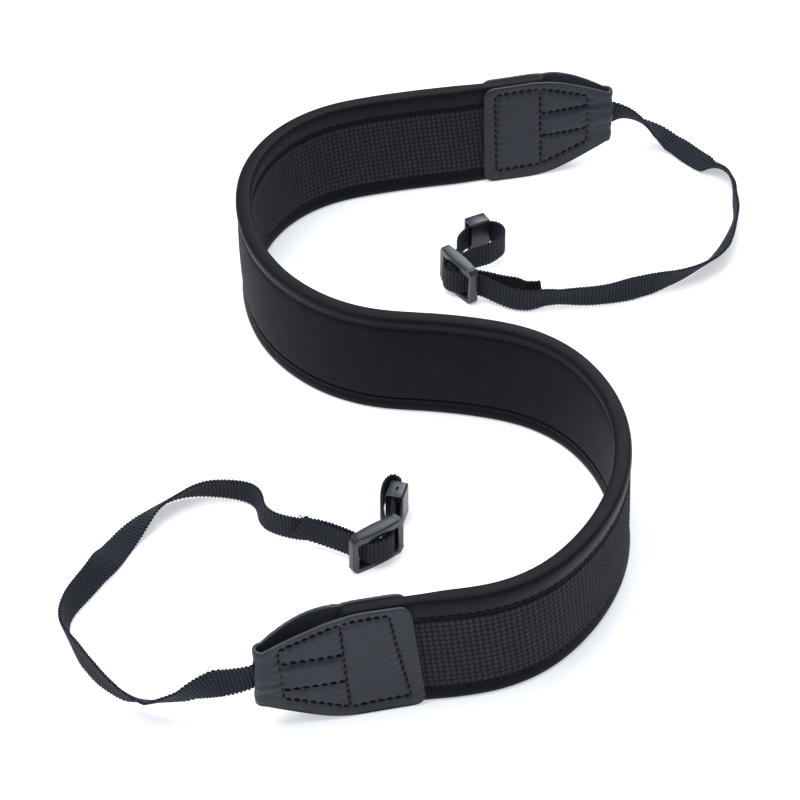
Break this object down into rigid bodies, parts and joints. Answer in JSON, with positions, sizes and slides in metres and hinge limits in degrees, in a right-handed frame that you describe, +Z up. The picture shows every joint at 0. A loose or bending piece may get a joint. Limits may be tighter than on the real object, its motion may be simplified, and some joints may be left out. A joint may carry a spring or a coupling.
{
  "type": "camera neck strap",
  "caption": "Padded neck strap with a woven strip, bound edges and folded end tabs, each with a webbing strap that ends in an adjustable lug loop.",
  "frame": {"origin": "on the floor, under the middle of the neck band, on the flat foot of its lower binding", "axes": "+Z is up from the floor, +Y runs from the near end tab towards the far one across the band's curve, +X is to the right of it"},
  "size_m": [0.2446, 0.3282, 0.043],
  "materials": {
    "neoprene": "matte, fabric faced",
    "weave": "coarse weave",
    "binding": "smooth stretch fabric",
    "leather": "smooth, fine grain",
    "webbing": "ribbed across",
    "plastic": "moulded, satin"
  },
  "bodies": {
    "root": {"neoprene_pad": "neoprene", "woven_strip": "weave", "binding_lower": "binding", "binding_upper": "binding", "end_tab_near": "leather", "end_tab_far": "leather", "strap_near": "webbing", "strap_far": "webbing", "slider_near": "plastic", "slider_far": "plastic", "keeper_near": "plastic", "keeper_far": "plastic"}
  },
  "joints": []
}
